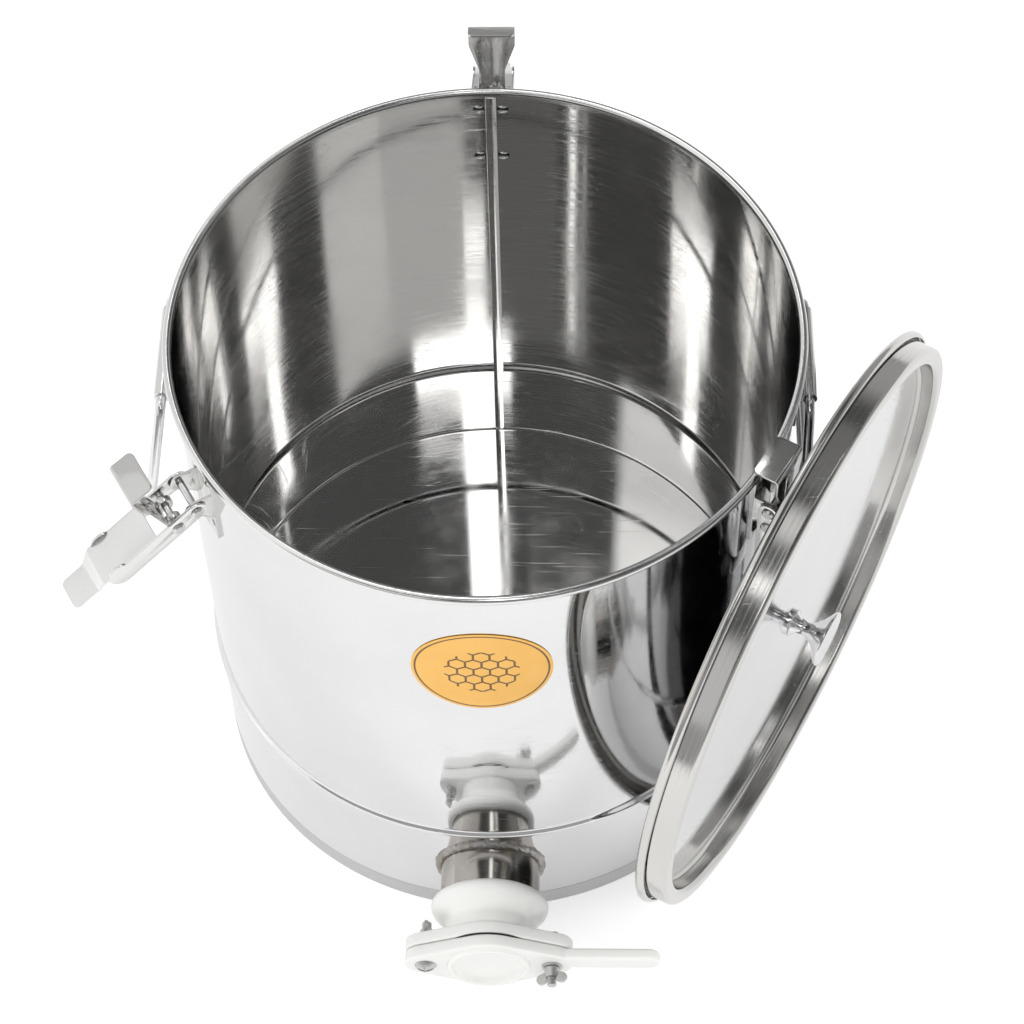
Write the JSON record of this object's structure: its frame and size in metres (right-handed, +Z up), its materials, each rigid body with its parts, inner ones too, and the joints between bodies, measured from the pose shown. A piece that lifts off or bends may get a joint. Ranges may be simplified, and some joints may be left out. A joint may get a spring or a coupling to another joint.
{
  "type": "honey settling tank",
  "caption": "Round stainless honey settling tank with a swing gate outlet, toggle latches, drop handles and a loose pressed lid that stands beside it.",
  "frame": {"origin": "on the tank's axis, on the ground that the base hoop stands on", "axes": "+Z up along the tank's axis, the outlet towards -Y, the standing lid towards +X"},
  "size_m": [0.509, 0.5194, 0.3802],
  "materials": {
    "tank_steel": "bright polished stainless sheet",
    "hoop_steel": "satin stainless",
    "weld_steel": "brushed stainless tube with a rough weld",
    "handle_steel": "satin stainless rod and sheet",
    "latch_steel": "pale satin pressed steel",
    "pin_steel": "bright steel",
    "gate_plastic": "white glossy moulded plastic",
    "seal_rubber": "black rubber",
    "gasket_rubber": "white silicone rubber",
    "bolt_steel": "plain steel",
    "knob_chrome": "chromed turned metal",
    "label_film": "printed film"
  },
  "bodies": {
    "tank": {"tank_shell": "tank_steel", "rim_wire": "hoop_steel", "tank_floor": "tank_steel", "base_hoop": "hoop_steel", "front_label": "label_film", "outlet_pipe": "weld_steel", "pipe_weld": "weld_steel", "left_handle_bracket": "handle_steel", "right_handle_bracket": "handle_steel", "gate_body": "gate_plastic", "gate_seal": "seal_rubber", "pivot_screw": "bolt_steel", "clamp_bolt": "bolt_steel", "clamp_washer": "bolt_steel", "back_latch_base": "latch_steel", "back_latch_rivets": "pin_steel", "back_base_pin": "pin_steel", "left_latch_base": "latch_steel", "left_latch_rivets": "pin_steel", "left_base_pin": "pin_steel", "right_latch_base": "latch_steel", "right_latch_rivets": "pin_steel", "right_base_pin": "pin_steel"},
    "gate": {"gate_blade": "gate_plastic"},
    "pivot_nut": {"pivot_wing_nut": "bolt_steel"},
    "clamp_nut": {"clamp_wing_nut": "bolt_steel"},
    "left_grip": {"left_handle": "handle_steel"},
    "right_grip": {"right_handle": "handle_steel"},
    "lid": {"lid_pan": "tank_steel", "lid_gasket": "gasket_rubber", "lid_knob": "knob_chrome", "knob_screw": "bolt_steel", "knob_washer": "bolt_steel"},
    "back_lever_arm": {"back_lever": "latch_steel", "back_hook_pin": "pin_steel"},
    "back_hook_arm": {"back_hook": "latch_steel"},
    "left_lever_arm": {"left_lever": "latch_steel", "left_hook_pin": "pin_steel"},
    "left_hook_arm": {"left_hook": "latch_steel"},
    "right_lever_arm": {"right_lever": "latch_steel", "right_hook_pin": "pin_steel"},
    "right_hook_arm": {"right_hook": "latch_steel"}
  },
  "joints": [
    {"name": "gate_swing", "type": "hinge", "parent": "tank", "child": "gate", "pos_m": [-0.038, -0.2374, 0.054], "axis": [0, -1, 0], "range_deg": [0, 75]},
    {"name": "pivot_nut_turn", "type": "hinge", "parent": "tank", "child": "pivot_nut", "pos_m": [-0.038, -0.2215, 0.054], "axis": [0, -1, 0], "continuous": true},
    {"name": "clamp_nut_turn", "type": "hinge", "parent": "tank", "child": "clamp_nut", "pos_m": [0.038, -0.2462, 0.054], "axis": [0, -1, 0], "continuous": true},
    {"name": "left_handle_swing", "type": "hinge", "parent": "tank", "child": "left_grip", "pos_m": [-0.1808, 0, 0.344], "axis": [0, 1, 0], "range_deg": [-10, 80]},
    {"name": "right_handle_swing", "type": "hinge", "parent": "tank", "child": "right_grip", "pos_m": [0.1808, 0, 0.344], "axis": [0, -1, 0], "range_deg": [0, 85]},
    {"name": "back_lever_swing", "type": "hinge", "parent": "tank", "child": "back_lever_arm", "pos_m": [0, 0.187, 0.339], "axis": [1, 0, 0], "range_deg": [-60, 25]},
    {"name": "back_hook_swing", "type": "hinge", "parent": "back_lever_arm", "child": "back_hook_arm", "pos_m": [0, 0.19912, 0.332], "axis": [1, 0, 0], "range_deg": [-35.42, 85]},
    {"name": "left_lever_swing", "type": "hinge", "parent": "tank", "child": "left_lever_arm", "pos_m": [-0.16195, -0.0935, 0.339], "axis": [-0.5, 0.866, 0], "range_deg": [-60, 25]},
    {"name": "left_hook_swing", "type": "hinge", "parent": "left_lever_arm", "child": "left_hook_arm", "pos_m": [-0.17245, -0.09956, 0.332], "axis": [-0.5, 0.866, 0], "range_deg": [-35.42, 85]},
    {"name": "right_lever_swing", "type": "hinge", "parent": "tank", "child": "right_lever_arm", "pos_m": [0.16195, -0.0935, 0.339], "axis": [-0.5, -0.866, 0], "range_deg": [0, 85]},
    {"name": "right_hook_swing", "type": "hinge", "parent": "right_lever_arm", "child": "right_hook_arm", "pos_m": [0.16195, -0.0935, 0.325], "axis": [-0.5, -0.866, 0], "range_deg": [-120.42, 0]},
    {"name": "lid_slide", "type": "slide", "parent": "tank", "child": "lid", "axis": [0.8788, -0.4772, 0], "range_m": [0, 0.25]}
  ],
  "couplings": [
    {"joint": "right_handle_swing", "follows": "lid_slide", "rad_per_m": 5.9341},
    {"joint": "back_hook_swing", "follows": "back_lever_swing", "ratio": -1.4167},
    {"joint": "left_hook_swing", "follows": "left_lever_swing", "ratio": -1.4167},
    {"joint": "right_lever_swing", "follows": "lid_slide", "rad_per_m": 5.9341},
    {"joint": "right_hook_swing", "follows": "lid_slide", "rad_per_m": -8.4067}
  ]
}
